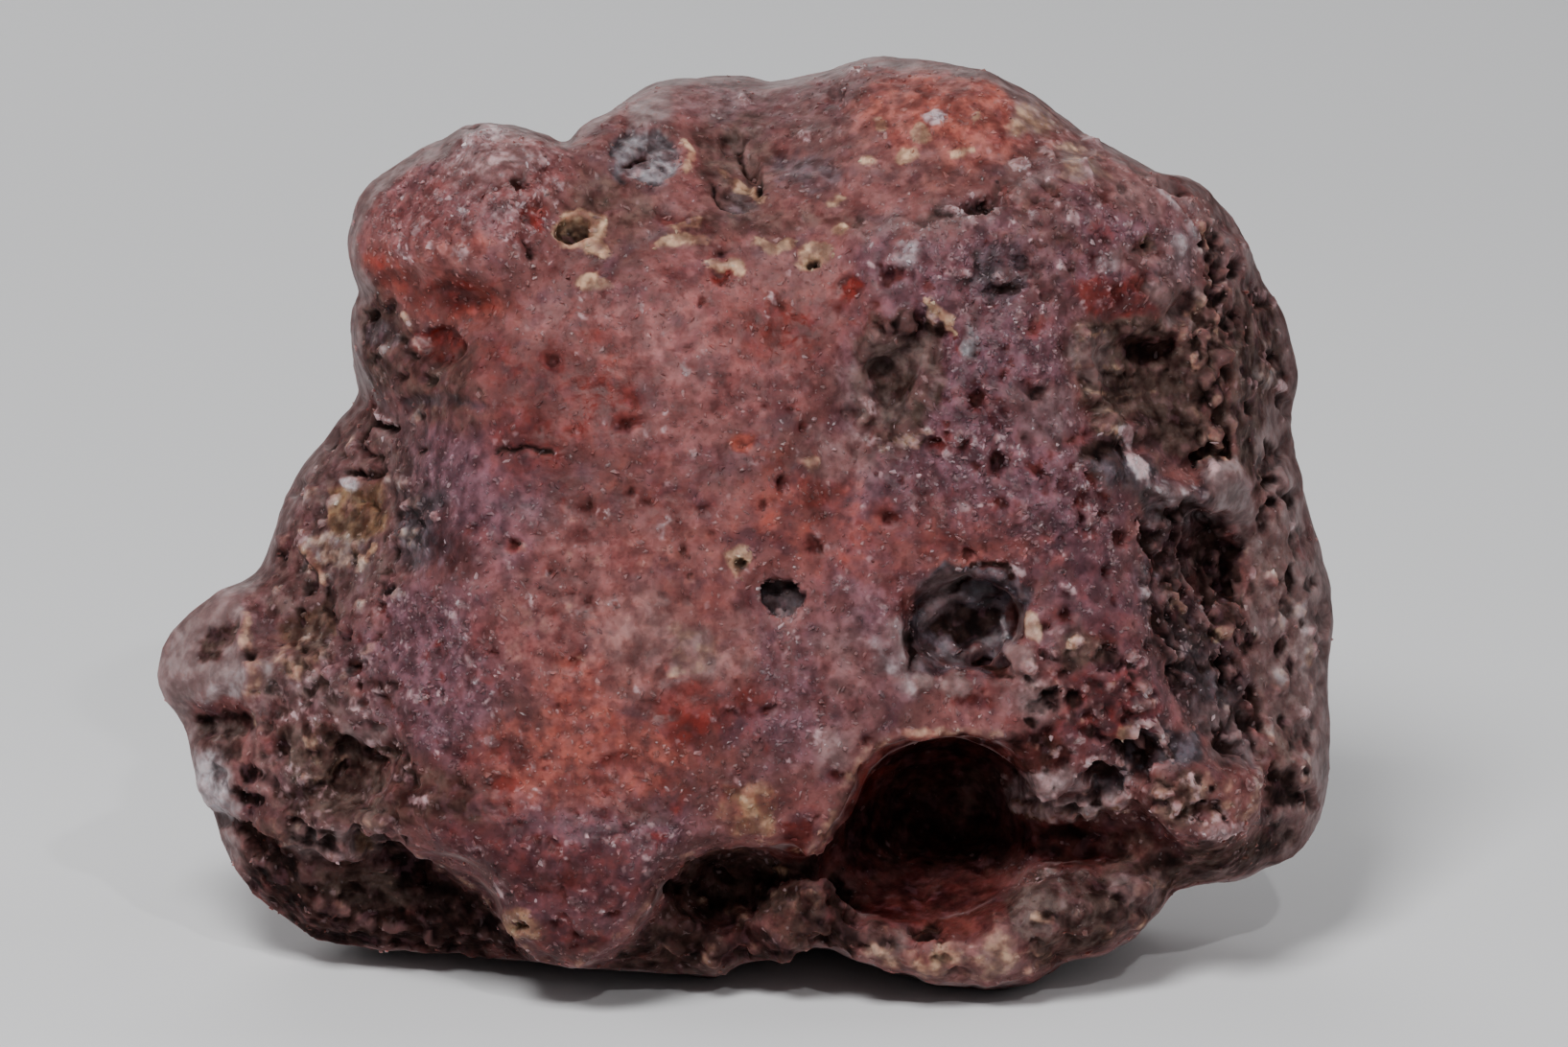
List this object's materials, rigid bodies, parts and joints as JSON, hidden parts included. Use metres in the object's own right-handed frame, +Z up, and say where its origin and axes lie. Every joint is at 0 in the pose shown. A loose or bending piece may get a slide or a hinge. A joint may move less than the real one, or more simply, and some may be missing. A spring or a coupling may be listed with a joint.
{
  "type": "rough agate nodule",
  "caption": "Rough pitted agate nodule standing upright on a small worn flat, with a broad detailed front face, an open cave low on the right and a rounder back.",
  "frame": {"origin": "under the middle of the stone's bounding box, at the height of the worn flat that it stands on", "axes": "+X to the stone's right as seen from the front and along its longest extent, +Y to its back, +Z up"},
  "size_m": [0.0582, 0.037, 0.0452],
  "materials": {
    "agate": "semi-gloss rose-brown to orange-red chalcedony with fine sugary crystal and dark clay in its hollows"
  },
  "bodies": {
    "root": {"agate": "agate"}
  },
  "joints": []
}
